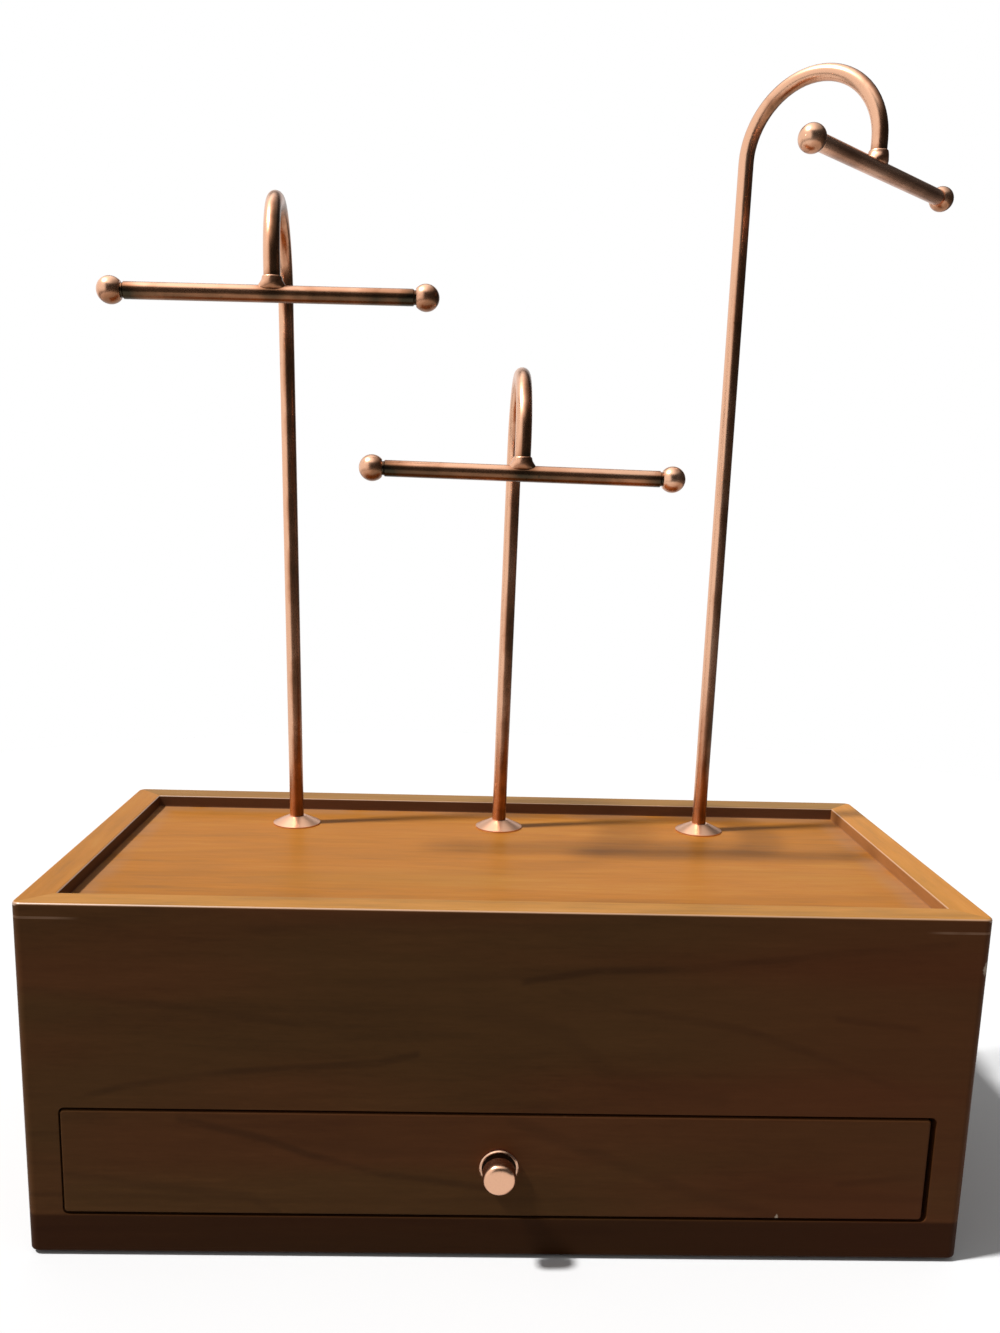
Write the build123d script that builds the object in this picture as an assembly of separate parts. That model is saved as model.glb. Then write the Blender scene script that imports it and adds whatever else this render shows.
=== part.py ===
"""Jewellery stand: a walnut-veneered box with one drawer, a shallow tray top and three
copper-plated T-bar hangers that swivel on their studs.

Millimetres. X runs to the right, Y runs to the back, Z runs up. The origin is the centre of
the underside, on the surface that the stand rests on. The front faces -Y.
"""
import os
from math import sqrt

from build123d import *

# --- case ---------------------------------------------------------------------------------
case_width = 300.0            # outside, left to right
case_depth = 142.0            # outside, front to back
case_height = 117.0           # the wood alone, without the felt below it
side_thickness = 11.0
front_thickness = 10.0
back_thickness = 11.0
corner_radius = 3.0           # upright corners
top_edge_radius = 1.0         # outer edge of the rim
rim_inner_radius = 0.7        # inner edge of the rim
bottom_edge_radius = 1.1
felt_thickness = 1.0          # sheet glued under the case, which the stand rests on
felt_inset = 3.5              # from the outside of the case

# --- boards inside the case -----------------------------------------------------------------
tray_depth = 4.6              # from the rim down to the tray floor
tray_floor_thickness = 9.0
ledger_size = 9.0             # square strips that carry the tray floor
bottom_thickness = 6.0
dust_panel_thickness = 3.0
corner_block_size = 12.0      # triangular glue blocks in the upper space
runner_width = 12.0           # strips under and over the drawer's sides

# --- drawer -----------------------------------------------------------------------------------
opening_inset = 0.4           # the opening's edge stands in from a side wall's inner face
opening_height = 37.0
opening_bottom = 13.3         # above the case's lower edge
opening_radius = 2.0
drawer_side_gaps = 2.2        # left and right gap added up
drawer_shift = -0.7           # the drawer stands left of centre in its opening
drawer_top_gap = 0.9
drawer_bottom_gap = 0.8
drawer_corner_radius = 1.2
drawer_edge_radius = 0.7
drawer_front_thickness = 10.0
drawer_wall = 6.0             # sides and back
drawer_side_height = 31.0
drawer_bottom_thickness = 3.0
drawer_bottom_rise = 4.0      # from the lower edge of the sides to the groove
groove_depth = 3.0
lining_thickness = 1.0
drawer_back_gap = 0.6         # between the shut drawer and the back panel
drawer_travel = 92.0
slide_clearance = 0.15        # between the drawer's sides and their runners
kicker_clearance = 0.8        # between the drawer's sides and the strips over them
dust_panel_rise = 2.0         # dust panel above the opening's upper edge
drawer_dowel_diameter = 3.0
drawer_dowel_length = 18.0

# --- knob -------------------------------------------------------------------------------------
knob_diameter = 10.6
knob_neck_diameter = 5.6
knob_neck_length = 3.0        # from the cup's floor to the head
knob_body_length = 3.0        # straight part of the head
knob_shoulder_height = 2.6
knob_face_diameter = 7.0
knob_face_rise = 0.2
knob_chamfer = 0.4
cup_diameter = 12.4
cup_height = 1.6
cup_floor = 0.6
cup_wall = 0.7
screw_diameter = 4.0
screw_grip = 4.5              # how far the screw goes into the knob
screw_head_diameter = 8.0
screw_head_height = 2.4
screw_slot_width = 1.0
screw_slot_depth = 0.9

# --- hangers ------------------------------------------------------------------------------------
post_spacing = 79.7
post_shift = -0.3             # the row of posts stands left of the centre
post_from_back = 31.6         # post axis to the case's back face
rod_diameter = 5.4
arm_reach = 50.0              # post axis to the axis of the down-turned end
hook_drop = 33.8              # top of the bend's centre line down to the bar
ball_spacing = 100.1          # between the centres of a bar's two balls
ball_diameter = 8.7
ball_facing = 1.1             # faced off each ball where it meets the bar
neck_width = 0.6              # turned groove between the bar and its ball
neck_depth = 0.4
spigot_length = 3.0           # turned end of the bar inside its ball
bar_chamfer = 0.4
collar_height = 1.5           # bead of solder round the rod's end on the bar
collar_width = 0.9
flange_diameter = 18.2
flange_height = 3.2
flange_lip = 0.5
flange_top_width = 0.7
stud_diameter = 4.0           # turned end of the rod, through the tray floor
stud_clearance = 0.05         # radial, in the bush
bush_diameter = 8.0
bush_flange_diameter = 13.0
bush_flange_height = 1.2
washer_diameter = 9.0
washer_height = 0.8
nut_across_flats = 7.0
nut_height = 5.0
stud_spare = 1.5              # how far the stud stands out of its nut
stud_chamfer = 0.5

left_bar_height = 302.2       # bar axes above the case's lower edge
middle_bar_height = 248.2
right_bar_height = 350.7
left_heading = 3.7            # degrees that an arm is turned from the front to the right
middle_heading = 1.2
right_heading = 46.8
left_lean = -0.8              # degrees that a rod leans to the right above its flange
middle_lean = 0.8
right_lean = 0.5
left_bar_shift = -0.7         # how far the bar's middle stands to the right of the rod's end
middle_bar_shift = 0.4
right_bar_shift = 4.5
left_bar_tilt = 0.2           # degrees that the bar's right end stands high
middle_bar_tilt = 0.2
right_bar_tilt = 1.7

# name: (post's X, heading, bar height, lean, bar shift, bar tilt)
HANGERS = {
    "left": (post_shift - post_spacing, left_heading, left_bar_height, left_lean, left_bar_shift, left_bar_tilt),
    "middle": (post_shift, middle_heading, middle_bar_height, middle_lean, middle_bar_shift, middle_bar_tilt),
    "right": (post_shift + post_spacing, right_heading, right_bar_height, right_lean, right_bar_shift,
              right_bar_tilt),
}

# --- shared clearances ----------------------------------------------------------------------------
fit_gap = 0.1                 # glued and seated pieces that are let into one another
overrun = 1.0                 # how far a cut runs past the faces that it goes through

# --- worked out from the sizes above ------------------------------------------------------------
case_bottom = felt_thickness
case_top = case_bottom + case_height
front_face = -case_depth / 2
back_face = case_depth / 2
inner_side = case_width / 2 - side_thickness
inner_front = front_face + front_thickness
inner_back = back_face - back_thickness

tray_top = case_top - tray_depth
tray_under = tray_top - tray_floor_thickness
floor_top = case_bottom + bottom_thickness

opening_side = inner_side - opening_inset
opening_low = case_bottom + opening_bottom
opening_high = opening_low + opening_height
drawer_low = opening_low + drawer_bottom_gap
drawer_front_high = opening_high - drawer_top_gap
drawer_side_high = drawer_low + drawer_side_height
drawer_half_width = opening_side - drawer_side_gaps / 2
drawer_back_face = inner_back - drawer_back_gap
drawer_front_back = front_face + drawer_front_thickness
drawer_inner_side = drawer_half_width - drawer_wall
drawer_inner_back = drawer_back_face - drawer_wall
drawer_floor_low = drawer_low + drawer_bottom_rise
drawer_floor_high = drawer_floor_low + drawer_bottom_thickness
kicker_low = drawer_side_high + kicker_clearance
dust_panel_low = opening_high + dust_panel_rise
dust_panel_high = dust_panel_low + dust_panel_thickness

knob_z = (drawer_low + drawer_front_high) / 2

rod_radius = rod_diameter / 2
ball_radius = ball_diameter / 2
neck_diameter = rod_diameter - 2 * neck_depth
bar_shoulder = ball_spacing / 2 - ball_radius + ball_facing
bend_radius = arm_reach / 2
collar_rise = rod_radius - collar_height * 0.6    # from the bar's axis to the collar and the rod's end
post_y = back_face - post_from_back
flange_top = tray_top + flange_height
bush_bore = stud_diameter + 2 * stud_clearance


# --- helpers --------------------------------------------------------------------------------------
def board(x_low, x_high, y_low, y_high, z_low, z_high):
    """A plain board between two opposite corners."""
    middle = ((x_low + x_high) / 2, (y_low + y_high) / 2, (z_low + z_high) / 2)
    return Pos(*middle) * Box(x_high - x_low, y_high - y_low, z_high - z_low)


def disc(diameter, z_low, z_high, x=0.0, y=0.0):
    """An upright cylinder between two heights."""
    return Pos(x, y, (z_low + z_high) / 2) * Cylinder(diameter / 2, z_high - z_low)


def along_y(diameter, y_low, y_high, x, z):
    """A cylinder that lies front to back."""
    return Pos(x, (y_low + y_high) / 2, z) * Rot(90, 0, 0) * Cylinder(diameter / 2, y_high - y_low)


def turned(profile):
    """A turned piece: a closed outline of (radius, height) points, spun about Z."""
    outline = Polyline(*[(radius, 0, height) for radius, height in profile], close=True)
    return revolve(make_face(outline), Axis.Z)


def edges_at(shape, z):
    """The edges that lie flat at one height."""
    return shape.edges().filter_by(lambda edge: abs(edge.bounding_box().min.Z - z) < 1e-4
                                   and abs(edge.bounding_box().max.Z - z) < 1e-4)


def rounded_prism(width, depth, radius, z_low, z_high):
    """An upright prism with rounded corners, centred on the origin."""
    outline = RectangleRounded(width, depth, radius)
    return Pos(0, 0, z_low) * extrude(outline, z_high - z_low)


# --- case -----------------------------------------------------------------------------------------
def case_ring():
    """The four walls as one ring, with the eased outer edges run right round it."""
    ring = rounded_prism(case_width, case_depth, corner_radius, case_bottom, case_top)
    ring = fillet(edges_at(ring, case_top), top_edge_radius)
    ring = fillet(edges_at(ring, case_bottom), bottom_edge_radius)
    inside = board(-inner_side, inner_side, inner_front, inner_back,
                   case_bottom - overrun, case_top + overrun)
    return ring - inside


def mitre_wedges():
    """One upright wedge for each wall, meeting its neighbours on the mitre lines."""
    outer = {}
    inner = {}
    for x_side in (-1, 1):
        for y_side, thickness in ((-1, front_thickness), (1, back_thickness)):
            corner = Vector(x_side * case_width / 2, y_side * case_depth / 2)
            step = Vector(x_side * side_thickness, y_side * thickness)
            outer[x_side, y_side] = corner + step * 0.5
            inner[x_side, y_side] = corner - step * 1.5
    corners = {
        "front_panel": ((-1, -1), (1, -1)),
        "right_side_panel": ((1, -1), (1, 1)),
        "back_panel": ((1, 1), (-1, 1)),
        "left_side_panel": ((-1, 1), (-1, -1)),
    }
    wedges = {}
    for name, (first, second) in corners.items():
        outline = Polyline(outer[first], outer[second], inner[second], inner[first], close=True)
        wedges[name] = extrude(make_face(outline), case_top + overrun, dir=(0, 0, 1))
    return wedges


def wall_panels():
    """The mitred walls, each with its inner top edge eased."""
    ring = case_ring()
    panels = {}
    for name, wedge in mitre_wedges().items():
        panel = ring & wedge
        inner_edge = edges_at(panel, case_top).filter_by(
            lambda edge: edge.length > corner_block_size
            and abs(edge.center().X) < inner_side + fit_gap
            and inner_front - fit_gap < edge.center().Y < inner_back + fit_gap)
        panels[name] = fillet(inner_edge, rim_inner_radius)
    panels["front_panel"] -= drawer_opening()
    return panels


def drawer_opening():
    """The hole through the front panel, with rounded corners."""
    hole = board(-opening_side, opening_side, front_face - overrun, inner_front + overrun,
                 opening_low, opening_high)
    return fillet(hole.edges().filter_by(Axis.Y), opening_radius)


def tray_floor():
    """Board under the tray, drilled for the three bushes."""
    floor = board(-inner_side, inner_side, inner_front, inner_back, tray_under, tray_top)
    for x, *_ in HANGERS.values():
        floor -= disc(bush_diameter, tray_under - overrun, tray_top + overrun, x, post_y)
    return floor


def tray_ledger(y_low):
    """Square strip glued to a wall under the tray floor, between the corner blocks."""
    half = inner_side - corner_block_size - fit_gap
    return board(-half, half, y_low, y_low + ledger_size, tray_under - ledger_size, tray_under)


def corner_blocks():
    """Four three-cornered glue blocks in the upper space, one in each mitred corner."""
    blocks = []
    height = tray_under - dust_panel_high - fit_gap
    for x_side in (-1, 1):
        for y_wall, y_step in ((inner_front, 1), (inner_back, -1)):
            corner = Vector(x_side * inner_side, y_wall)
            along_x = corner + Vector(-x_side * corner_block_size, 0)
            along_depth = corner + Vector(0, y_step * corner_block_size)
            outline = make_face(Polyline(corner, along_x, along_depth, close=True))
            blocks.append(Pos(0, 0, dust_panel_high) * extrude(outline, height, dir=(0, 0, 1)))
    return Compound(blocks)


def side_strip(x_side, z_low, z_high):
    """Strip along a side wall: a runner below the drawer's side, or a kicker above it."""
    x_edges = sorted((x_side * inner_side, x_side * (inner_side - runner_width)))
    return board(*x_edges, inner_front + fit_gap, inner_back, z_low, z_high)


def base_felt():
    """Felt sheet under the whole case."""
    return rounded_prism(case_width - 2 * felt_inset, case_depth - 2 * felt_inset,
                         corner_radius, 0, felt_thickness)


def stud_bush(x):
    """Flanged brass bush, pressed up into the tray floor, that a hanger's stud turns in."""
    low = tray_under - bush_flange_height
    bush = disc(bush_diameter, tray_under, tray_top, x, post_y)
    bush += disc(bush_flange_diameter, low, tray_under, x, post_y)
    return bush - disc(bush_bore, low - overrun, tray_top + overrun, x, post_y)


# --- drawer ---------------------------------------------------------------------------------------
def dowel_places():
    """Where the dowels run from the drawer front into the ends of its sides."""
    for x_side in (-1, 1):
        for share in (0.3, 0.75):
            x = drawer_shift + x_side * (drawer_half_width - drawer_wall / 2)
            yield x, drawer_low + share * drawer_side_height


def drawer_dowels(extra=0.0):
    """The dowels, or with some extra length and width the holes for them."""
    y_middle = drawer_front_back
    y_ends = (y_middle - drawer_dowel_length / 3 - extra, y_middle + drawer_dowel_length * 2 / 3 + extra)
    return Compound([along_y(drawer_dowel_diameter + extra, *y_ends, x, z) for x, z in dowel_places()])


def bottom_groove():
    """The space of the drawer's bottom board and its groove, on all four sides."""
    return board(drawer_shift - drawer_inner_side - groove_depth,
                 drawer_shift + drawer_inner_side + groove_depth,
                 drawer_front_back - groove_depth, drawer_inner_back + groove_depth,
                 drawer_floor_low, drawer_floor_high)


def drawer_front():
    """Drawer front with eased edges, grooved for the bottom and drilled for the knob's screw."""
    front = board(drawer_shift - drawer_half_width, drawer_shift + drawer_half_width,
                  front_face, drawer_front_back, drawer_low, drawer_front_high)
    front = fillet(front.edges().filter_by(Axis.Y), drawer_corner_radius)
    front = fillet(front.faces().sort_by(Axis.Y)[0].edges(), drawer_edge_radius)
    front -= bottom_groove()
    front -= drawer_dowels(fit_gap)
    return front - along_y(screw_diameter + 2 * fit_gap, front_face - overrun,
                           drawer_front_back + overrun, drawer_shift, knob_z)


def drawer_side(x_side):
    """Side board of the drawer, full length behind the front."""
    x_edges = sorted((drawer_shift + x_side * drawer_inner_side, drawer_shift + x_side * drawer_half_width))
    side = board(*x_edges, drawer_front_back, drawer_back_face, drawer_low, drawer_side_high)
    return side - bottom_groove() - drawer_dowels(fit_gap)


def drawer_back():
    """Back board, let in between the two sides."""
    back = board(drawer_shift - drawer_inner_side, drawer_shift + drawer_inner_side,
                 drawer_inner_back, drawer_back_face, drawer_low, drawer_side_high)
    return back - bottom_groove()


def drawer_bottom():
    """Thin board in the grooves, a little smaller than they are."""
    return board(drawer_shift - drawer_inner_side - groove_depth + fit_gap,
                 drawer_shift + drawer_inner_side + groove_depth - fit_gap,
                 drawer_front_back - groove_depth + fit_gap, drawer_inner_back + groove_depth - fit_gap,
                 drawer_floor_low, drawer_floor_high)


def drawer_lining():
    """Felt sheet on the drawer's bottom, drawn in a little from the walls."""
    return board(drawer_shift - drawer_inner_side + fit_gap, drawer_shift + drawer_inner_side - fit_gap,
                 drawer_front_back + fit_gap, drawer_inner_back - fit_gap,
                 drawer_floor_high, drawer_floor_high + lining_thickness)


def on_knob_axis(piece):
    """Lay a piece turned about Z down so that its +Z points out of the drawer front."""
    return Pos(drawer_shift, front_face, knob_z) * Rot(90, 0, 0) * piece


def knob_cup():
    """Shallow cup behind the knob, with a thin raised rim."""
    wide = cup_diameter / 2
    rim_inside = wide - cup_wall
    hole = screw_diameter / 2 + fit_gap
    cup = turned([(hole, 0), (wide, 0), (wide, cup_height - cup_wall / 2), (wide - cup_wall / 2, cup_height),
                  (rim_inside, cup_height), (rim_inside, cup_floor), (hole, cup_floor)])
    return on_knob_axis(cup)


def knob():
    """Knob on a short neck that stands on the cup's floor: a straight body, then a round shoulder that
    runs into an almost flat face. It is bored for its screw."""
    head_low = cup_floor + knob_neck_length
    body_high = head_low + knob_body_length
    face_high = body_high + knob_shoulder_height
    half = knob_diameter / 2
    face_half = knob_face_diameter / 2
    profile = Polyline((0, 0, cup_floor), (knob_neck_diameter / 2, 0, cup_floor),
                       (knob_neck_diameter / 2, 0, head_low), (half - knob_chamfer, 0, head_low),
                       (half, 0, head_low + knob_chamfer), (half, 0, body_high))
    crown = Bezier((half, 0, body_high), (half, 0, body_high + knob_shoulder_height * 0.8),
                   ((face_half + half) / 2, 0, face_high), (face_half, 0, face_high),
                   (0, 0, face_high + knob_face_rise))
    closing = Line((0, 0, face_high + knob_face_rise), (0, 0, cup_floor))
    body = revolve(make_face(profile + crown + closing), Axis.Z)
    body -= disc(screw_diameter, cup_floor - overrun, cup_floor + screw_grip)
    return on_knob_axis(body)


def knob_screw():
    """Pan-head screw from inside the drawer, through its front and the cup, into the knob."""
    head_high = -drawer_front_thickness
    head_low = head_high - screw_head_height
    shank = disc(screw_diameter, head_high, cup_floor + screw_grip - fit_gap)
    head = disc(screw_head_diameter, head_low, head_high)
    head = fillet(edges_at(head, head_low), screw_head_height * 0.4)
    slot = board(-screw_slot_width / 2, screw_slot_width / 2, -screw_head_diameter, screw_head_diameter,
                 head_low - overrun, head_low + screw_slot_depth)
    return on_knob_axis(shank + head - slot)


# --- hangers, made with the post on the Z axis and the arm pointing to the front --------------------
def bar_cylinder(diameter, x_low, x_high):
    """A cylinder along a bar's axis, which is X, measured from the bar's middle."""
    return Pos((x_low + x_high) / 2, 0, 0) * Rot(0, 90, 0) * Cylinder(diameter / 2, x_high - x_low)


def leaned(heading, lean):
    """The turn about the flange's upper edge that everything above it is given."""
    sideways = Rot(0, 0, -heading) * Rot(0, lean, 0) * Rot(0, 0, heading)
    return Pos(0, 0, flange_top) * sideways * Pos(0, 0, -flange_top)


def rod(bar_z, above_flange):
    """The bent rod: a turned stud, the post, a half-circle bend and the short end on the bar."""
    bend_z = bar_z + hook_drop - bend_radius
    foot = (0, 0, tray_top)
    flange_exit = (0, 0, flange_top)
    start = (0, 0, bend_z)
    crown = (0, -bend_radius, bend_z + bend_radius)
    end = (0, -arm_reach, bend_z)
    tip = (0, -arm_reach, bar_z + collar_rise)
    upper = Line(flange_exit, start) + ThreePointArc(start, crown, end) + Line(end, tip)
    path = Wire(Line(foot, flange_exit).edges() + (above_flange * upper).edges())
    bent = sweep(Plane(foot, z_dir=(0, 0, 1)) * Circle(rod_radius), path, transition=Transition.RIGHT)
    stud_low = tray_under - bush_flange_height - washer_height - nut_height - stud_spare
    stud = disc(stud_diameter, stud_low, tray_top)
    stud = chamfer(edges_at(stud, stud_low), stud_chamfer)
    return bent + stud


def flange():
    """Low spun cone that covers the hole, soldered to the foot of the rod."""
    foot = flange_diameter / 2
    neck = rod_radius + flange_top_width
    cone = turned([(rod_radius, 0), (foot, 0), (foot, flange_lip), (neck, flange_height),
                   (rod_radius, flange_height)])
    return Pos(0, 0, tray_top) * cone


def crossbar():
    """The bar: chamfered shoulders, a narrow neck at each end and a spigot in each ball."""
    half = bar_shoulder - neck_width
    bar = bar_cylinder(rod_diameter, -half, half)
    rims = bar.edges().filter_by(lambda edge: edge.geom_type == GeomType.CIRCLE)
    bar = chamfer(rims, bar_chamfer)
    spigot_end = bar_shoulder + spigot_length
    return bar + bar_cylinder(neck_diameter, -spigot_end, spigot_end)


def ball(side):
    """End ball, turned about the bar's axis, faced off and bored for the bar's spigot."""
    face = ball_facing - ball_radius
    face_radius = sqrt(ball_radius ** 2 - face ** 2)
    bore_end = face + spigot_length + fit_gap
    bore = neck_diameter / 2
    outline = Polyline((face_radius, 0, face), (bore, 0, face), (bore, 0, bore_end), (0, 0, bore_end),
                       (0, 0, ball_radius))
    outline += ThreePointArc((0, 0, ball_radius), (ball_radius, 0, 0), (face_radius, 0, face))
    whole = revolve(make_face(outline), Axis.Z)
    return Pos(side * ball_spacing / 2, 0, 0) * Rot(0, side * 90, 0) * whole


def solder_collar(bar_z):
    """Bead round the end of the rod, not yet cut to the bar."""
    wide = rod_radius + collar_width
    bead = turned([(rod_radius, 0), (wide, 0), (wide, collar_height * 0.35),
                   (rod_radius + 0.25, collar_height), (rod_radius, collar_height)])
    return Pos(0, -arm_reach, bar_z + collar_rise) * bead


def stud_washer():
    """Flat washer against the bush."""
    high = tray_under - bush_flange_height
    return disc(washer_diameter, high - washer_height, high) - disc(stud_diameter, 0, tray_top)


def lock_nut():
    """Lock nut on the stud, with a rounded collar at its lower end."""
    high = tray_under - bush_flange_height - washer_height
    low = high - nut_height
    hexagon = extrude(RegularPolygon(nut_across_flats / 2, 6, major_radius=False), nut_height * 0.7)
    nut = Pos(0, 0, high - nut_height * 0.7) * hexagon
    nut += disc(nut_across_flats * 0.92, low, high)
    return nut - disc(stud_diameter, 0, tray_top)


def hanger(name):
    """All the pieces of one hanger, each in its place on the tray."""
    x, heading, bar_height, lean, bar_shift, bar_tilt = HANGERS[name]
    bar_z = case_bottom + bar_height
    above_flange = leaned(heading, lean)
    on_bar = above_flange * Pos(0, -arm_reach, bar_z) * Rot(0, -bar_tilt, 0) * Pos(bar_shift, 0, 0)
    bar_space = on_bar * bar_cylinder(rod_diameter, -ball_spacing, ball_spacing)
    pieces = {
        "rod": rod(bar_z, above_flange) - bar_space,
        "flange": flange(),
        "bar": on_bar * crossbar(),
        "left_ball": on_bar * ball(-1),
        "right_ball": on_bar * ball(1),
        "solder_collar": above_flange * solder_collar(bar_z) - bar_space,
        "stud_washer": stud_washer(),
        "lock_nut": lock_nut(),
    }
    place = Pos(x, post_y, 0) * Rot(0, 0, heading)
    return {name + "_hanger_" + piece: place * shape for piece, shape in pieces.items()}


# --- all the nodes --------------------------------------------------------------------------------
def build():
    """Every sub-part by name."""
    nodes = wall_panels()
    nodes["tray_floor"] = tray_floor()
    nodes["front_tray_ledger"] = tray_ledger(inner_front)
    nodes["back_tray_ledger"] = tray_ledger(inner_back - ledger_size)
    nodes["corner_blocks"] = corner_blocks()
    nodes["bottom_panel"] = board(-inner_side, inner_side, inner_front, inner_back, case_bottom, floor_top)
    nodes["dust_panel"] = board(-inner_side, inner_side, inner_front, inner_back,
                                dust_panel_low, dust_panel_high)
    for side_name, x_side in (("left", -1), ("right", 1)):
        nodes[side_name + "_runner"] = side_strip(x_side, floor_top, drawer_low - slide_clearance)
        nodes[side_name + "_kicker"] = side_strip(x_side, kicker_low, dust_panel_low)
        nodes["drawer_" + side_name + "_side"] = drawer_side(x_side)
    nodes["base_felt"] = base_felt()
    for name, (x, *_) in HANGERS.items():
        nodes[name + "_stud_bush"] = stud_bush(x)
    nodes["drawer_front"] = drawer_front()
    nodes["drawer_back"] = drawer_back()
    nodes["drawer_bottom"] = drawer_bottom()
    nodes["drawer_lining"] = drawer_lining()
    nodes["drawer_dowels"] = drawer_dowels()
    nodes["knob_cup"] = knob_cup()
    nodes["knob"] = knob()
    nodes["knob_screw"] = knob_screw()
    for name in HANGERS:
        nodes.update(hanger(name))
    return nodes


os.makedirs("parts", exist_ok=True)
for node, shape in build().items():
    export_step(shape, "parts/" + node + ".step")
    print(node, len(shape.solids()), round(shape.volume, 1))
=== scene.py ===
"""Jewellery stand: a walnut case with a drawer and three copper hangers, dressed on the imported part."""

import math
from types import SimpleNamespace

import bpy
from mathutils import Matrix, Vector


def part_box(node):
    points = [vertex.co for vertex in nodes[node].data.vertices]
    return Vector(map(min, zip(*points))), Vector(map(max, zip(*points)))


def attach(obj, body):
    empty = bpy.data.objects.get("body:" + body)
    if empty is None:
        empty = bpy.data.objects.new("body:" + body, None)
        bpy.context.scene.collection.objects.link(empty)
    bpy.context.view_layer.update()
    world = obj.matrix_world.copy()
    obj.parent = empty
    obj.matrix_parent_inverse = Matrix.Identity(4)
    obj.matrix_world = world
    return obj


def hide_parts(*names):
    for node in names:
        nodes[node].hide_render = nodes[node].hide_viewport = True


MM = 0.001

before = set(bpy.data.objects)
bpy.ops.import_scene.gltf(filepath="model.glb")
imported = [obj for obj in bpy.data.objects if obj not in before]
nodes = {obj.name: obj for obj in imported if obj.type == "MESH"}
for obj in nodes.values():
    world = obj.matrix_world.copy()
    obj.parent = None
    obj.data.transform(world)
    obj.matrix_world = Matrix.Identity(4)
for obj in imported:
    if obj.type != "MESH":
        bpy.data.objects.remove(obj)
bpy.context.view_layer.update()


# ---------------------------------------------------------------- camera


def look_matrix(pitch, roll, yaw):
    """Turns a camera's axes from pitch, roll and yaw in degrees; at zero it looks along +Y."""
    right = Vector((math.cos(math.radians(yaw)), math.sin(math.radians(yaw)), 0))
    ahead = Vector((-right.y, right.x, 0))
    ahead.rotate(Matrix.Rotation(math.radians(pitch), 3, right))
    up = right.cross(ahead)
    tilt = Matrix.Rotation(math.radians(roll), 3, ahead)
    right.rotate(tilt)
    up.rotate(tilt)
    return Matrix((right, up, -ahead)).transposed()


# where the photo was taken from, solved from the case's corners
camera_place = Vector((-14.4, -407.0, 239.5)) * MM
camera_turn = look_matrix(pitch=-11.31, roll=-1.60, yaw=-1.75)
lens_length = 31.46
lens_shift = 0.052


def place_camera():
    data = bpy.data.cameras.new("photo_camera")
    camera = bpy.data.objects.new("photo_camera", data)
    bpy.context.scene.collection.objects.link(camera)
    camera.matrix_world = Matrix.Translation(camera_place) @ camera_turn.to_4x4()
    data.sensor_width = 36
    data.lens = lens_length
    data.shift_y = lens_shift
    data.clip_start = 0.01
    data.clip_end = 100
    bpy.context.scene.camera = camera


place_camera()
bpy.context.scene.view_settings.view_transform = "Standard"


# ---------------------------------------------------------------- shader wiring


class Wire:
    """An output socket of a node tree. Arithmetic on wires adds Math nodes to the tree."""

    def __init__(self, tree, socket=None):
        self.tree = tree
        self.socket = socket

    def node(self, kind, settings=None, inputs=None, output=0):
        """Adds a node: its settings first, then the values or wires of its sockets."""
        made = self.tree.nodes.new(kind)
        for name, value in (settings or {}).items():
            if name == "stops":
                set_stops(made.color_ramp, value)
            else:
                setattr(made, name, value)
        for name, value in (inputs or {}).items():
            if isinstance(value, Wire):
                self.tree.links.new(value.socket, made.inputs[name])
            else:
                made.inputs[name].default_value = value
        return Wire(self.tree, made.outputs[output] if len(made.outputs) else None)

    def math(self, operation, first, second=0.0):
        return self.node("ShaderNodeMath", {"operation": operation}, {0: first, 1: second})

    def __add__(self, other):
        return self.math("ADD", self, other)

    __radd__ = __add__

    def __sub__(self, other):
        if isinstance(other, tuple):
            return self.node("ShaderNodeVectorMath", {"operation": "SUBTRACT"}, {0: self, 1: other})
        return self.math("SUBTRACT", self, other)

    def __rsub__(self, other):
        return self.math("SUBTRACT", other, self)

    def __mul__(self, other):
        return self.math("MULTIPLY", self, other)

    __rmul__ = __mul__

    def __abs__(self):
        return self.math("ABSOLUTE", self)

    def __lt__(self, other):
        return self.math("LESS_THAN", self, other)

    def __gt__(self, other):
        return self.math("GREATER_THAN", self, other)

    def most(self, other):
        return self.math("MAXIMUM", self, other)

    def least(self, other):
        return self.math("MINIMUM", self, other)

    def rise(self, start, end):
        """0 up to start, 1 from end, and smooth between them."""
        inputs = {"Value": self, "From Min": start, "From Max": end}
        return self.node("ShaderNodeMapRange", {"interpolation_type": "SMOOTHSTEP"}, inputs)

    def length(self):
        return self.node("ShaderNodeVectorMath", {"operation": "LENGTH"}, {0: self}, 1)

    def parts(self):
        """The x, y and z of a vector."""
        made = self.node("ShaderNodeSeparateXYZ", None, {0: self}).socket.node
        return [Wire(self.tree, out) for out in made.outputs]

    def mapped(self, scale=(1, 1, 1), place=(0, 0, 0), turn=(0, 0, 0)):
        inputs = {"Vector": self, "Scale": scale, "Location": place, "Rotation": turn}
        return self.node("ShaderNodeMapping", None, inputs)

    def noise(self, scale, detail=4, rough=0.5, distortion=0.0):
        inputs = {
            "Vector": self,
            "Scale": scale,
            "Detail": detail,
            "Roughness": rough,
            "Distortion": distortion,
        }
        return self.node("ShaderNodeTexNoise", None, inputs)


def set_stops(colour_ramp, stops):
    """Gives a colour ramp its stops, each (position, colour)."""
    elements = colour_ramp.elements
    while len(elements) > 1:
        elements.remove(elements[-1])
    elements[0].position = stops[0][0]
    elements[0].color = (*stops[0][1], 1)
    for position, colour in stops[1:]:
        elements.new(position).color = (*colour, 1)


def ramp(value, *stops):
    return value.node("ShaderNodeValToRGB", {"stops": stops}, {0: value})


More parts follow.
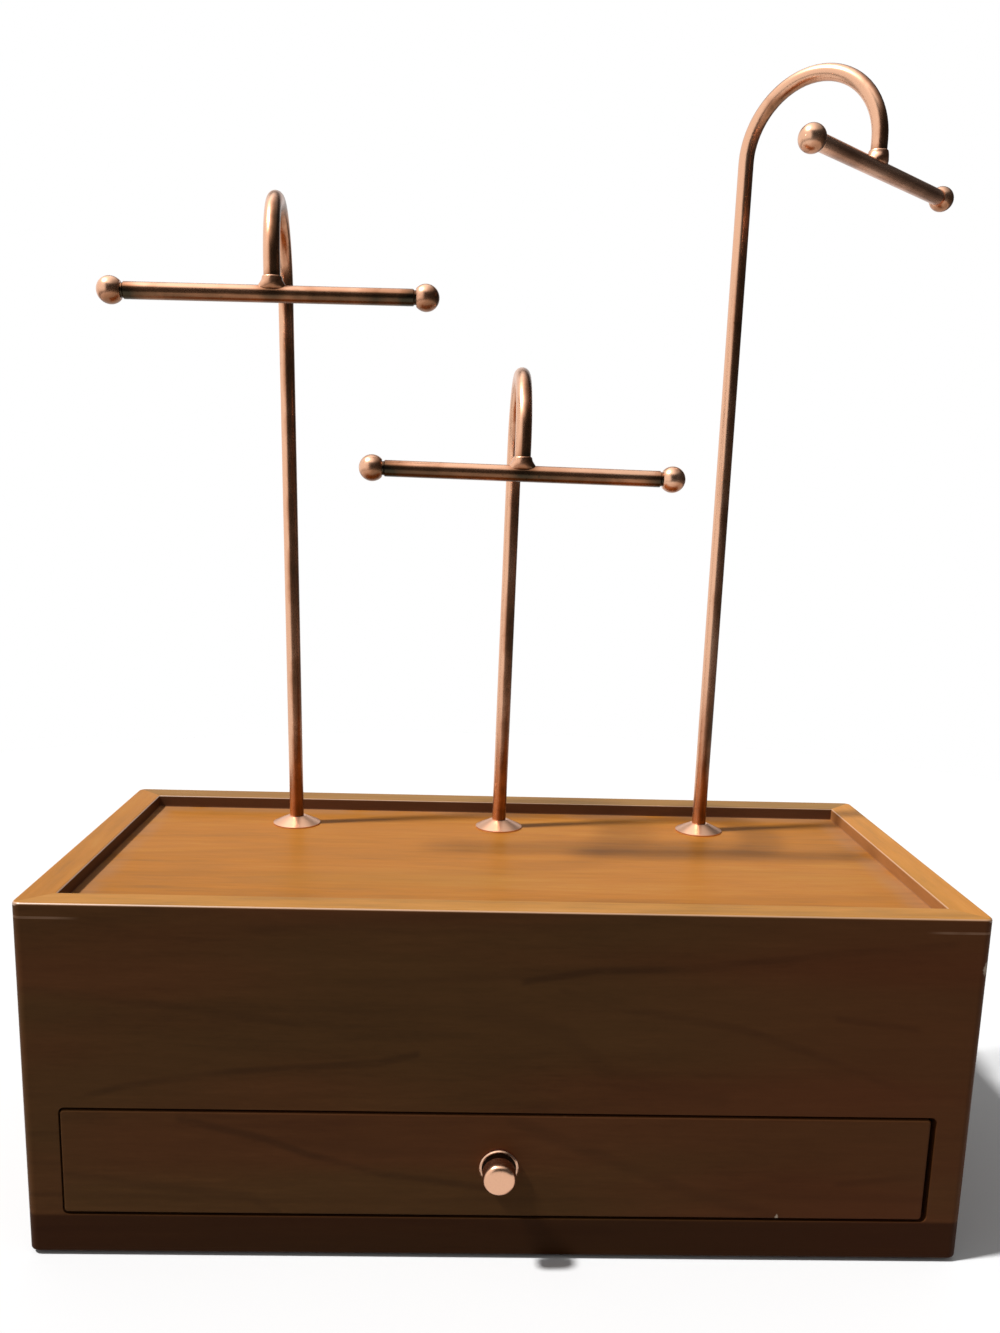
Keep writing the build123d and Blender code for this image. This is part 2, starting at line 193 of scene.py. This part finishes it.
def blend(share, first, second, kind="MIX"):
    """Mixes two colours, each a wire or three numbers."""
    inputs = {0: share}
    for name, colour in ((6, first), (7, second)):
        inputs[name] = colour if isinstance(colour, Wire) else (*colour, 1)
    settings = {"data_type": "RGBA", "blend_type": kind}
    return (share if isinstance(share, Wire) else first).node("ShaderNodeMix", settings, inputs, 2)


def paint(name):
    """A new material: itself and a wire to add its first nodes with."""
    made = bpy.data.materials.new(name)
    made.use_nodes = True
    made.node_tree.nodes.clear()
    return made, Wire(made.node_tree)


def finish_paint(wire, **sockets):
    """Ends a material in a Principled shader. Sockets are named with _ for each space."""
    inputs = {name.replace("_", " "): value for name, value in sockets.items()}
    shader = wire.node("ShaderNodeBsdfPrincipled", None, inputs)
    wire.node("ShaderNodeOutputMaterial", None, {0: shader})


def bump(height, depth, strength):
    """Turns a height from 0 to 1 into a normal; depth is in metres."""
    return height.node("ShaderNodeBump", None, {"Height": height, "Distance": depth, "Strength": strength})


def place_of(wire):
    """The point in the piece's own coordinates, which are the frame's, in metres."""
    return wire.node("ShaderNodeTexCoord", None, None, 3)


def normal_of(wire):
    return wire.node("ShaderNodeTexCoord", None, None, 1)


def ray_kinds(wire):
    """Three wires: 1 for camera rays, for glossy rays and for transmission rays."""
    path = wire.node("ShaderNodeLightPath").socket.node
    kinds = ("Is Camera Ray", "Is Glossy Ray", "Is Transmission Ray")
    return [Wire(wire.tree, path.outputs[kind]) for kind in kinds]


def stretched(axis, share):
    """A mapping scale that draws a pattern out along an axis; none if axis is None."""
    return [share if name == axis else 1.0 for name in "xyz"]


def middle(node):
    """The middle of a CAD node's box."""
    low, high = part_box(node)
    return (low + high) / 2


# ---------------------------------------------------------------- measures of the case and the hangers

tray_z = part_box("tray_floor")[1].z
rim_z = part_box("left_side_panel")[1].z
edge_radius = 0.001
inner_x = 0.139
inner_front_y = -0.061
inner_back_y = 0.060
face_play = 0.0003
light_top_from_z = 0.110

# each hanger, and how many degrees its hook is turned to the right of straight ahead
hangers = (("left", 3.7), ("middle", 1.2), ("right", 46.8))


# ---------------------------------------------------------------- wood


def grain_line(along, across, sway, points, width):
    """A dark growth line drawn through points (along, across) of a face, in metres: 1 on the line."""
    wander = (sway - 0.5) * 0.010
    drawn = None
    for start, end in zip(points, points[1:]):
        share = (along - start[0]) * (1 / (end[0] - start[0]))
        off = across - start[1] - share * (end[1] - start[1]) + wander
        on_run = share.rise(-0.12, 0.02) * (1 - share.rise(0.98, 1.12))
        part = (1 - abs(off).rise(width * 0.15, width)) * on_run
        drawn = part if drawn is None else drawn.most(part)
    return drawn


def walnut_figure(place, z, side_step, along, seed):
    """The wood's figure, in parts from 0 to 1, drawn out along the grain."""
    grain = place.mapped(scale=stretched(along, 0.16), place=(seed, seed * 1.7, seed * 0.6))
    sway = grain.noise(7, 2, 0.45)
    patches = grain.noise(40, 3, 0.5, 0.4)
    ring_count = (z + side_step * 0.55) * 62 + sway * 9 + patches * 0.8
    ring = abs(ring_count.math("FRACT", ring_count) - 0.5) * 2
    return SimpleNamespace(
        sway=sway,
        patches=patches,
        hue=grain.mapped(place=(3.1, 7.7, 1.9)).noise(26, 2, 0.5),
        streaks=grain.noise(190, 5, 0.65, 0.2),
        dashes=grain.mapped(scale=stretched(along, 0.45)).noise(420, 3, 0.7),
        fibres=grain.noise(1300, 3, 0.65),
        dark_ring=ring.rise(0.72, 0.98) * grain.noise(21, 2).rise(0.42, 0.62),
    )


def lit_top(figure, tint):
    """The colour of the faces that look up: amber, painted far paler than the sides, partly their own tone
    and partly painted light, as the light falls full on them.
    """
    colour = ramp(
        figure.patches * 0.35 + figure.streaks * 0.4 + figure.dashes * 0.25,
        (0.36, (0.370, 0.150, 0.028)),
        (0.45, (0.455, 0.180, 0.030)),
        (0.52, (0.500, 0.196, 0.035)),
        (0.59, (0.515, 0.222, 0.047)),
        (0.66, (0.580, 0.250, 0.062)),
    )
    colour = blend(figure.hue.rise(0.5, 0.75) * 0.35, colour, (0.385, 0.205, 0.045))
    colour = blend(figure.dark_ring * 0.25, colour, (0.30, 0.115, 0.020))
    return blend(1.0, colour, tint, "MULTIPLY")


def stained_and_shaded_side(figure, x, z, run, lines):
    """The colour of the upright faces: the dark stain, with painted shade that keeps them far darker than
    the lit tops; redder to the right and darkest along the foot.
    """
    colour = ramp(
        figure.patches * 0.35 + figure.streaks * 0.25 + figure.dashes * 0.25 + figure.fibres * 0.15,
        (0.36, (0.068, 0.0260, 0.0085)),
        (0.46, (0.092, 0.0360, 0.0115)),
        (0.53, (0.104, 0.0410, 0.0135)),
        (0.62, (0.128, 0.0510, 0.0170)),
    )
    colour = blend(figure.hue.rise(0.40, 0.60) * 0.40, colour, (0.082, 0.0430, 0.0140))
    colour = blend((1 - figure.hue).rise(0.45, 0.65) * 0.40, colour, (0.118, 0.0370, 0.0140))
    colour = blend(figure.dark_ring * 0.3, colour, (0.036, 0.0135, 0.0050))
    for points, width, depth in lines:
        drawn = grain_line(run, z, figure.sway, points, width * 1.5) * figure.streaks.rise(0.32, 0.62)
        colour = blend(drawn * depth * 0.62, colour, (0.030, 0.0120, 0.0050))
    colour = blend(x.rise(0.02, 0.13) * 0.35, colour, (0.112, 0.0290, 0.0100))
    return blend((1 - z.rise(0.0135, 0.0150)) * 0.75, colour, (0.024, 0.0060, 0.0012))


def tray_wall(figure, side, x, y, z, wall_shading):
    """Colours the upright faces round the tray, and leaves the others as they are. The wall colour holds
    painted light and shade: pale on a wall the light falls on, dark on a wall in shade.
    """
    inside = (abs(x) < inner_x + face_play) * (y > inner_front_y - face_play)
    inside = inside * (y < inner_back_y + face_play) * (z > tray_z - 0.001)
    wall_shading_dark = tuple(part * 0.8 for part in wall_shading)
    wall = ramp(figure.streaks * 0.7 + figure.fibres * 0.3, (0.35, wall_shading_dark), (0.65, wall_shading))
    return blend(inside, side, wall)


def sheen_at_wall_foot(colour, place, x, y, z):
    """Painted light: a pale mauve sheen on the tray's floor along the foot of the walls, broken by noise,
    as the floor catches the light beside the walls.
    """
    wall_foot = (inner_x - abs(x)).least(inner_back_y - y)
    on_floor = abs(z - tray_z) < 0.0004
    painted_sheen = (1 - wall_foot.rise(0.002, 0.011)) * on_floor * place.noise(60, 3).rise(0.2, 0.6)
    return blend(painted_sheen * 0.4, colour, (0.40, 0.235, 0.15))


def chipped(colour, place, x, y, z, marks):
    """Chips that show raw wood."""
    for mark_x, mark_y, mark_z, reach, strength in marks:
        off = abs(x - mark_x) + abs(y - mark_y) + abs(z - mark_z) * 0.6
        ragged = off + (place.noise(900, 2) - 0.5) * reach
        chip = (1 - ragged.rise(reach * 0.5, reach)) * strength
        colour = blend(chip, colour, (0.62, 0.50, 0.38))
    return colour


def walnut(name, along, seed, lines=(), marks=(), top_tone_and_light=(1, 1, 1), wall_shading=(0.17, 0.072, 0.026)):
    """Stained walnut with satin lacquer. Along is the axis that the grain follows. Lines are growth
    lines, each (points, width, depth). Marks are chips, each (x, y, z, reach, strength). The wall
    colour is the colour of the faces round the tray, with painted light on a lit wall and painted
    shade on a shaded one. The top tint colours the tops that look up, with painted light and shade
    on the rims."""
    made, wire = paint(name)
    place = place_of(wire)
    x, y, z = place.parts()
    facing_x, facing_y, facing_z = normal_of(wire).parts()
    run, side_step = (x, y) if along == "x" else (y, x)
    figure = walnut_figure(place, z, side_step, along, seed)
    side = tray_wall(figure, stained_and_shaded_side(figure, x, z, run, lines), x, y, z, wall_shading)
    # painted light: faces that look up take the pale lit colour, the upright faces the dark shaded one
    lit_top_faces = facing_z.rise(0.35, 0.8) * (z > light_top_from_z)
    colour = blend(lit_top_faces, side, lit_top(figure, top_tone_and_light))
    round_edge = (1 - abs(facing_x).most(abs(facing_y)).most(abs(facing_z))).rise(0.04, 0.22)
    rubbed_and_lit = place.noise(190, 4, 0.7).rise(0.60, 0.72) * round_edge
    colour = blend(rubbed_and_lit * 0.3, colour, (0.30, 0.15, 0.065))
    highlit_top_edge = round_edge * (z > rim_z - edge_radius * 1.1)
    # painted highlight: the rounded top edges are painted pale pink, as where the light catches them
    colour = blend(highlit_top_edge * 0.55, colour, (0.62, 0.36, 0.21))
    colour = sheen_at_wall_foot(colour, place, x, y, z)
    finish_paint(
        wire,
        Base_Color=chipped(colour, place, x, y, z, marks),
        Roughness=0.42 + (figure.streaks - 0.5) * 0.24 + (figure.fibres - 0.5) * 0.12,
        Specular_IOR_Level=0.03,
        Coat_Weight=0.01 + lit_top_faces * 0.02 + highlit_top_edge,
        Coat_Roughness=0.36,
        Coat_IOR=1.9,
        Normal=bump(figure.streaks * 0.4 + figure.dashes * 0.3 + figure.fibres * 0.3, 0.00007, 0.35),
    )
    return made


def bare_wood(name, light, dark, along, seed):
    """Planed, unfinished wood with fine grain."""
    made, wire = paint(name)
    long_place = place_of(wire).mapped(scale=stretched(along, 0.1), place=(seed, seed, 0))
    streaks = long_place.noise(220, 5, 0.6, 0.4)
    fibres = long_place.noise(1200, 3, 0.6)
    colour = ramp(streaks * 0.7 + fibres * 0.3, (0.35, dark), (0.62, light))
    finish_paint(
        wire,
        Base_Color=colour,
        Roughness=0.62 + fibres * 0.2,
        Specular_IOR_Level=0.3,
        Normal=bump(fibres * 0.6 + streaks * 0.4, 0.00012, 0.5),
    )
    return made


def pressed_board(name):
    """Thin pressed board: short chips and specks."""
    made, wire = paint(name)
    place = place_of(wire)
    chips = place.noise(420, 4, 0.7)
    clouds = place.noise(30, 3)
    colour = ramp(chips * 0.7 + clouds * 0.3, (0.35, (0.17, 0.095, 0.05)), (0.65, (0.36, 0.23, 0.13)))
    finish_paint(
        wire,
        Base_Color=colour,
        Roughness=0.7 + chips * 0.15,
        Specular_IOR_Level=0.25,
        Normal=bump(chips, 0.0001, 0.5),
    )
    return made


# ---------------------------------------------------------------- felt and metal


def felt(name, light, dark):
    """Glued felt: matted fibres with a soft pile."""
    made, wire = paint(name)
    place = place_of(wire)
    fibres = place.noise(2600, 3, 0.7, 1.5)
    mats = place.noise(320, 4, 0.6, 0.8)
    colour = ramp(fibres * 0.6 + mats * 0.4, (0.32, dark), (0.68, light))
    finish_paint(
        wire,
        Base_Color=colour,
        Roughness=0.92 + mats * 0.06,
        Specular_IOR_Level=0.1,
        Sheen_Weight=0.35,
        Sheen_Roughness=0.5,
        Normal=bump(fibres * 0.5 + mats * 0.5, 0.0003, 0.8),
    )
    return made


def copper(name, rubbed_and_lit=(-0.8, -0.2, 0.3), axis=None, turn=0.0, relief=0.5, dark_zones=(), rough=0.18):
    """Antique copper: dark patina and bright metal, with painted light and shade. Faces turned towards
    the given direction are painted as bright metal, and faces turned away as dark patina, near black,
    which also stands in for the dark room that they reflect. The brush marks follow axis, after the
    piece is turned by that many degrees about z. Dark zones are (x, y, z, reach), places made darker."""
    made, wire = paint(name)
    place = place_of(wire)
    brushed = place.mapped(turn=(0, 0, -math.radians(turn))).mapped(scale=stretched(axis, 0.03))
    lines = brushed.noise(3800, 2, 0.7)
    bands = brushed.noise(620, 3, 0.6)
    clouds = place.noise(48, 3, 0.55, 0.5)
    spots = place.noise(430, 3, 0.65)
    facing_x, facing_y, facing_z = normal_of(wire).parts()
    # painted light and shade: faces towards the given direction become bright metal, the others dark
    lit_side = (facing_x * rubbed_and_lit[0] + facing_y * rubbed_and_lit[1] + facing_z * rubbed_and_lit[2]).rise(-0.35, 0.7)
    shade = (1 - lit_side) * 0.62 + (clouds - 0.5) * 1.1 + (bands - 0.5) * 0.3 + spots.rise(0.62, 0.75) * 0.15
    for zone_x, zone_y, zone_z, reach in dark_zones:
        away = (place - (zone_x, zone_y, zone_z)).length()
        shade = shade + (1 - away.rise(0, reach)) * 0.7
    colour = ramp(
        shade + (0.5 - relief),
        (0.00, (0.74, 0.42, 0.27)),
        (0.22, (0.54, 0.265, 0.155)),
        (0.46, (0.31, 0.138, 0.070)),
        (0.70, (0.140, 0.070, 0.036)),
        (1.00, (0.042, 0.033, 0.020)),
    )
    finish_paint(
        wire,
        Base_Color=colour,
        Metallic=1.0,
        Roughness=rough + lines * 0.10 + clouds * 0.08,
        Normal=bump(lines, 0.000008, 0.5),
    )
    return made


def cup_copper(name, axis_x, axis_z, mouth):
    """The knob's cup: bright on its rim, and painted near black inside as painted shade in its hollow.
    Mouth is the radius of its opening.
    """
    made, wire = paint(name)
    place = place_of(wire)
    x, _, z = place.parts()
    from_axis = place.node("ShaderNodeCombineXYZ", None, {0: x - axis_x, 1: z - axis_z}).length()
    inside = 1 - from_axis.rise(mouth - 0.00015, mouth + 0.0001)
    lines = place.noise(900, 3, 0.6)
    rim = ramp(lines, (0.3, (0.60, 0.34, 0.22)), (0.7, (0.78, 0.48, 0.33)))
    # painted shade: the inside of the cup is painted near black
    colour = blend(inside, rim, (0.030, 0.017, 0.010))
    finish_paint(
        wire,
        Base_Color=colour,
        Metallic=1.0,
        Roughness=0.2 + inside * 0.35 + lines * 0.1,
        Normal=bump(lines, 0.00001, 0.5),
    )
    return made


def plated(name, light, dark, scale):
    """Zinc plate or turned brass, with a faint turned or crystalline grain."""
    made, wire = paint(name)
    place = place_of(wire)
    grain = place.noise(scale, 4, 0.7)
    colour = ramp(grain, (0.35, dark), (0.65, light))
    finish_paint(
        wire,
        Base_Color=colour,
        Metallic=1.0,
        Roughness=0.3 + grain * 0.15,
        Normal=bump(grain, 0.00002, 0.4),
    )
    return made


def dress(material, *names):
    """Gives CAD nodes this material in every slot."""
    for name in names:
        slots = nodes[name].data.materials
        if not slots:
            slots.append(material)
        for i in range(len(slots)):
            slots[i] = material


# ---------------------------------------------------------------- the case and the drawer, dressed

# growth lines on the front, as points (x, z), then the line's width and how dark it is
front_lines = [
    ([(-0.1479, 0.0911), (-0.1133, 0.0874), (-0.0662, 0.0813)], 0.0014, 0.55),
    ([(-0.1342, 0.0545), (-0.1201, 0.0594), (-0.0846, 0.0650), (-0.0391, 0.0683), (-0.0270, 0.0712)],
     0.0013, 0.7),
    ([(0.0061, 0.0949), (0.0276, 0.0986), (0.0591, 0.0997), (0.0966, 0.1046), (0.1362, 0.1083)],
     0.0013, 0.75),
    ([(0.0180, 0.0912), (0.0399, 0.0862), (0.0744, 0.0801), (0.0951, 0.0730), (0.1161, 0.0645),
      (0.1311, 0.0582)], 0.0016, 0.5),
    ([(-0.0115, 0.0864), (0.0185, 0.0782), (0.0351, 0.0633), (0.0700, 0.0563)], 0.0040, 0.3),
    ([(0.1043, 0.0839), (0.1289, 0.0809)], 0.0012, 0.6),
    ([(-0.0759, 0.1103), (-0.0121, 0.1118), (0.0270, 0.1122)], 0.0018, 0.45),
]
front_marks = [(0.1488, -0.0705, 0.1015, 0.0019, 0.8)]
drawer_lines = [
    ([(-0.1004, 0.0482), (-0.0753, 0.0427), (-0.0609, 0.0373), (-0.0372, 0.0310), (-0.0041, 0.0265)],
     0.0014, 0.65),
    ([(0.0025, 0.0495), (0.0247, 0.0408), (0.0436, 0.0330), (0.0623, 0.0251), (0.0891, 0.0172)],
     0.0024, 0.4),
    ([(-0.1387, 0.0298), (-0.1029, 0.0253), (-0.0793, 0.0224), (-0.0702, 0.0165)], 0.0020, 0.4),
    ([(0.1090, 0.0288), (0.1347, 0.0320)], 0.0012, 0.5),
]
drawer_marks = [(0.0895, -0.0708, 0.0158, 0.0010, 0.7)]

# painted light and shade on the rim tops: the front and right tops paler, the back top darker and more
# olive
front_top_painted_light = (1.10, 1.25, 1.65)
back_top_painted_shade = (0.72, 0.86, 1.15)
tray_tint = (0.98, 0.93, 0.82)
right_top_painted_light = (1.25, 1.30, 1.45)
# painted light and shade round the tray: the left and back walls dark as in shade, the right wall pale as
# lit
back_wall_painted_shade = (0.153, 0.068, 0.033)
left_wall_painted_shade = (0.110, 0.045, 0.017)
right_wall_painted_light = (0.495, 0.213, 0.071)

walnut_front = walnut("walnut_front", "x", 0.31, front_lines, front_marks, front_top_painted_light)
dress(walnut_front, "front_panel")
dress(walnut("walnut_back", "x", 4.70, top_tone_and_light=back_top_painted_shade, wall_shading=back_wall_painted_shade), "back_panel")
dress(walnut("walnut_tray", "x", 2.12, top_tone_and_light=tray_tint), "tray_floor")
dress(walnut("walnut_left", "y", 6.35, wall_shading=left_wall_painted_shade), "left_side_panel")
dress(walnut("walnut_right", "y", 8.90, top_tone_and_light=right_top_painted_light, wall_shading=right_wall_painted_light), "right_side_panel")
dress(walnut("walnut_drawer_front", "x", 1.57, drawer_lines, drawer_marks), "drawer_front")

stained_light, stained_dark = (0.20, 0.100, 0.045), (0.11, 0.050, 0.024)
stained_along_y = bare_wood("stained_wood_side", stained_light, stained_dark, "y", 3.3)
stained_along_x = bare_wood("stained_wood_back", stained_light, stained_dark, "x", 5.3)
dress(stained_along_y, "drawer_left_side", "drawer_right_side")
dress(stained_along_x, "drawer_back")

softwood_light, softwood_dark = (0.66, 0.48, 0.29), (0.50, 0.33, 0.18)
softwood_along_x = bare_wood("softwood_along_x", softwood_light, softwood_dark, "x", 1.1)
softwood_along_y = bare_wood("softwood_along_y", softwood_light, softwood_dark, "y", 2.1)
softwood_along_z = bare_wood("softwood_along_z", softwood_light, softwood_dark, "z", 7.1)
dress(softwood_along_x, "front_tray_ledger", "back_tray_ledger", "drawer_dowels")
dress(softwood_along_y, "left_runner", "right_runner", "left_kicker", "right_kicker")
dress(softwood_along_z, "corner_blocks")
dress(pressed_board("pressed_board"), "bottom_panel", "dust_panel", "drawer_bottom")

zinc_light, zinc_dark = (0.70, 0.70, 0.72), (0.50, 0.51, 0.53)
brass_light, brass_dark = (0.80, 0.62, 0.32), (0.62, 0.46, 0.22)
cup_middle = middle("knob_cup")
cup_mouth = 0.0055
# painted light and shade: the knob is painted bright towards the upper left front and dark away from it
dress(copper("copper_knob", rubbed_and_lit=(-0.6, -0.5, 0.5), relief=0.72), "knob")
dress(cup_copper("copper_cup", cup_middle.x, cup_middle.z, cup_mouth), "knob_cup")
dress(plated("zinc_screw", zinc_light, zinc_dark, 900), "knob_screw")


# ---------------------------------------------------------------- the hangers, dressed

# painted light and shade: the balls and flanges are painted bright towards the upper left and dark away
# from it
ball_copper = copper("copper_ball", rubbed_and_lit=(-0.5, -0.3, 0.6), relief=0.62)
flange_copper = copper("copper_flange", rubbed_and_lit=(-0.6, -0.5, 0.5), relief=0.95, rough=0.26)
joint_dark_reach = 0.007
ball_dark_reach = 0.013


def dress_hanger(side, heading):
    """Patina is left at the solder, and the bars are darker beside the balls. The right bar is painted
    brighter all over, as painted light, with no darker places.
    """
    joint_zone = (*middle(f"{side}_hanger_solder_collar"), joint_dark_reach)
    ball_zones = [(*middle(f"{side}_hanger_{end}_ball"), ball_dark_reach) for end in ("left", "right")]
    # painted light: the right bar is painted brighter all over and gets no darker places
    bar_relief, bar_zones = (0.85, []) if side == "right" else (0.45, [joint_zone, *ball_zones])
    # painted light and shade: rods bright on their left sides and dark on the right, bars bright on top
    # and dark beneath
    rod_copper = copper(f"copper_{side}_rod", (-0.95, 0, 0.3), "z", 0, 0.60, [joint_zone])
    bar_copper = copper(f"copper_{side}_bar", (-0.1, 0, 1.0), "x", heading, bar_relief, bar_zones)
    dress(rod_copper, f"{side}_hanger_rod")
    dress(bar_copper, f"{side}_hanger_bar")
    dress(ball_copper, f"{side}_hanger_left_ball", f"{side}_hanger_right_ball")
    dress(flange_copper, f"{side}_hanger_flange")
    zinc = plated("zinc_" + side, zinc_light, zinc_dark, 900)
    dress(zinc, f"{side}_hanger_stud_washer", f"{side}_hanger_lock_nut")
    dress(plated("brass_" + side, brass_light, brass_dark, 1500), f"{side}_stud_bush")


for hanger_side, hanger_heading in hangers:
    dress_hanger(hanger_side, hanger_heading)


# ---------------------------------------------------------------- felt sheets and solder beads

felt_play = 0.0003
felt_wave = 0.012
felt_cuts = 63

# height above the bar's axis, half length along the bar and half width across it
bead_rings = [
    (0.0009, 0.0052, 0.0024),
    (0.0020, 0.0049, 0.0031),
    (0.0030, 0.0042, 0.0034),
    (0.0040, 0.0035, 0.0034),
    (0.0049, 0.0033, 0.0033),
    (0.0054, 0.0032, 0.0032),
    (0.0057, 0.0025, 0.0025),
]
bead_corners = 32
bead_lump = 0.0022
bead_lump_height = 0.00009


def open_primitive(name):
    """Names the primitive just added, puts its origin at the frame's and selects it in edit mode."""
    piece = bpy.context.active_object
    piece.name = name
    bpy.ops.object.transform_apply(location=True)
    bpy.ops.object.mode_set(mode="EDIT")
    bpy.ops.mesh.select_all(action="SELECT")
    return piece


def waver(piece, size, reach):
    """Moves the vertices a little every way, by noise of that size. Reach is the furthest, in metres."""
    clouds = bpy.data.textures.new(piece.name + "_clouds", "CLOUDS")
    clouds.noise_scale = size
    clouds.cloud_type = "COLOR"
    shaken = piece.modifiers.new("waver", "DISPLACE")
    shaken.texture = clouds
    shaken.direction = "RGB_TO_XYZ"
    shaken.strength = reach * 2


def settle(piece):
    """Applies the modifiers and turns the faces outward."""
    for modifier in list(piece.modifiers):
        bpy.ops.object.modifier_apply(modifier=modifier.name)
    bpy.ops.object.mode_set(mode="EDIT")
    bpy.ops.mesh.select_all(action="SELECT")
    bpy.ops.mesh.normals_make_consistent(inside=False)
    bpy.ops.object.mode_set(mode="OBJECT")


def model_felt(name, centre, width, length, thickness):
    """A felt sheet cut by hand, with a slightly uneven surface and edge."""
    bpy.ops.object.select_all(action="DESELECT")
    bpy.ops.mesh.primitive_plane_add(size=length, location=centre)
    sheet = open_primitive(name)
    bpy.ops.transform.resize(value=(width / length, 1, 1), center_override=centre)
    bpy.ops.mesh.subdivide(number_cuts=felt_cuts)
    bpy.ops.object.mode_set(mode="OBJECT")
    waver(sheet, felt_wave, felt_play * 0.5)
    thick = sheet.modifiers.new("thickness", "SOLIDIFY")
    thick.thickness = thickness
    thick.offset = 0
    edge = sheet.modifiers.new("edge", "BEVEL")
    edge.width = felt_play * 0.6
    edge.segments = 2
    settle(sheet)
    bpy.ops.object.shade_smooth_by_angle(angle=math.radians(50))
    return sheet


def lay_felt(name, node, body, material):
    """Lays a felt sheet in the room of the node that it stands for."""
    low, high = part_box(node)
    width, length = high.x - low.x - 2 * felt_play, high.y - low.y - 2 * felt_play
    sheet = model_felt(name, middle(node), width, length, high.z - low.z - felt_play)
    sheet.data.materials.append(material)
    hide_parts(node)
    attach(sheet, body)


def model_bead(name, joint):
    """Solder that grips a rod where it meets its bar, and runs out along the bar on both sides."""
    height, along, across = bead_rings[0]
    foot = joint + Vector((0, 0, height))
    bpy.ops.object.select_all(action="DESELECT")
    bpy.ops.mesh.primitive_circle_add(vertices=bead_corners, radius=along, fill_type="NGON", location=foot)
    bead = open_primitive(name)
    bpy.ops.transform.resize(value=(1, across / along, 1), center_override=joint)
    for next_height, next_along, next_across in bead_rings[1:]:
        bpy.ops.mesh.extrude_region_move(TRANSFORM_OT_translate={"value": (0, 0, next_height - height)})
        growth = (next_along / along, next_across / across, 1)
        bpy.ops.transform.resize(value=growth, center_override=joint)
        height, along, across = next_height, next_along, next_across
    bpy.ops.object.mode_set(mode="OBJECT")
    rounded = bead.modifiers.new("rounded", "SUBSURF")
    rounded.levels = rounded.render_levels = 2
    waver(bead, bead_lump, bead_lump_height)
    settle(bead)
    bpy.ops.object.shade_smooth()
    return bead


def joint_of(side):
    """Where a hanger's rod meets the axis of its bar."""
    joint = middle(f"{side}_hanger_solder_collar")
    joint.z = middle(f"{side}_hanger_bar").z
    return joint


def fit_beads(material):
    """One bead, modelled at the first joint, and its copies, each turned as its hanger is."""
    first_side = hangers[0][0]
    first_joint = joint_of(first_side)
    bead = model_bead(f"{first_side}_solder_bead", first_joint)
    bead.data.materials.append(material)
    pattern = bead.data.copy()
    for side, heading in hangers:
        if side != first_side:
            bead = bpy.data.objects.new(f"{side}_solder_bead", pattern.copy())
            bpy.context.scene.collection.objects.link(bead)
        turn = Matrix.Rotation(math.radians(heading), 4, "Z")
        bead.data.transform(Matrix.Translation(joint_of(side)) @ turn @ Matrix.Translation(-first_joint))
        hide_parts(f"{side}_hanger_solder_collar")
        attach(bead, f"{side}_hanger")
    bpy.data.meshes.remove(pattern)


dark_felt = felt("dark_felt", (0.075, 0.052, 0.045), (0.022, 0.015, 0.013))
brown_felt = felt("brown_felt", (0.20, 0.120, 0.080), (0.085, 0.048, 0.032))
lay_felt("base_felt_sheet", "base_felt", "case", dark_felt)
lay_felt("drawer_felt_sheet", "drawer_lining", "drawer", brown_felt)
# painted light and shade: the solder beads are painted bright towards the upper left and dark away from it
fit_beads(copper("copper_bead", rubbed_and_lit=(-0.6, -0.2, 0.5), relief=0.55, rough=0.24))


# ---------------------------------------------------------------- floor, backdrop and lamps


floor_radius = 0.75
floor_middle_y = 0.05
key_from = (-0.503, -0.107, 0.855)
key_energy = 3.2
key_spread = 5


def lay_floor():
    """A pale floor. The camera and mirrors see it near white; it throws less light back on the case."""
    made, wire = paint("pale_floor")
    camera, glossy, clear = ray_kinds(wire)
    near_white = ramp(place_of(wire).noise(3, 2), (0.0, (0.93, 0.93, 0.93)), (1.0, (0.95, 0.95, 0.95)))
    tone = blend(camera.most(glossy).most(clear), (0.42, 0.42, 0.42), near_white)
    shader = wire.node("ShaderNodeBsdfDiffuse", None, {"Color": tone})
    wire.node("ShaderNodeOutputMaterial", None, {0: shader})
    bpy.ops.object.select_all(action="DESELECT")
    bpy.ops.mesh.primitive_circle_add(
        vertices=96, radius=floor_radius, fill_type="NGON", location=(0, floor_middle_y, 0)
    )
    bpy.ops.object.transform_apply(location=True)
    floor = bpy.context.active_object
    floor.name = "floor"
    floor.data.materials.append(made)


def light_world():
    """White backdrop, seen by the camera and in the metal, and a weak even light from all round."""
    world = bpy.data.worlds.new("studio")
    bpy.context.scene.world = world
    world.use_nodes = True
    world.node_tree.nodes.clear()
    wire = Wire(world.node_tree)
    camera, glossy, clear = ray_kinds(wire)
    x, y, z = wire.node("ShaderNodeTexCoord", None, None, 0).parts()
    backdrop = y.rise(0.78, 0.90)
    window = (x * -1).rise(0.22, 0.50) * z.rise(-0.45, -0.1) * 1.15
    ceiling = z.rise(0.62, 0.82) * (0.45 + (x * -1).rise(-0.6, 0.3) * 1.35)
    room = 0.06 + (1 - z.rise(-0.35, 0.15)) * 0.12
    mirror = backdrop.most(window).most(ceiling).most(room)
    seen = camera.most(clear)
    strength = seen + (1 - seen) * (glossy * mirror + (1 - glossy) * 0.24)
    shade = wire.node("ShaderNodeBackground", None, {"Color": (1, 1, 1, 1), "Strength": strength})
    wire.node("ShaderNodeOutputWorld", None, {0: shade})


def hang_lamp(name, towards, energy, spread):
    """A far lamp shining from a direction; spread is its width in degrees as the object sees it."""
    data = bpy.data.lights.new(name, "SUN")
    data.energy = energy
    data.angle = math.radians(spread)
    lamp = bpy.data.objects.new(name, data)
    bpy.context.scene.collection.objects.link(lamp)
    lamp.rotation_euler = Vector(towards).to_track_quat("Z", "Y").to_euler()
    lamp.location = Vector(towards)


lay_floor()
light_world()
hang_lamp("key_lamp", key_from, key_energy, key_spread)
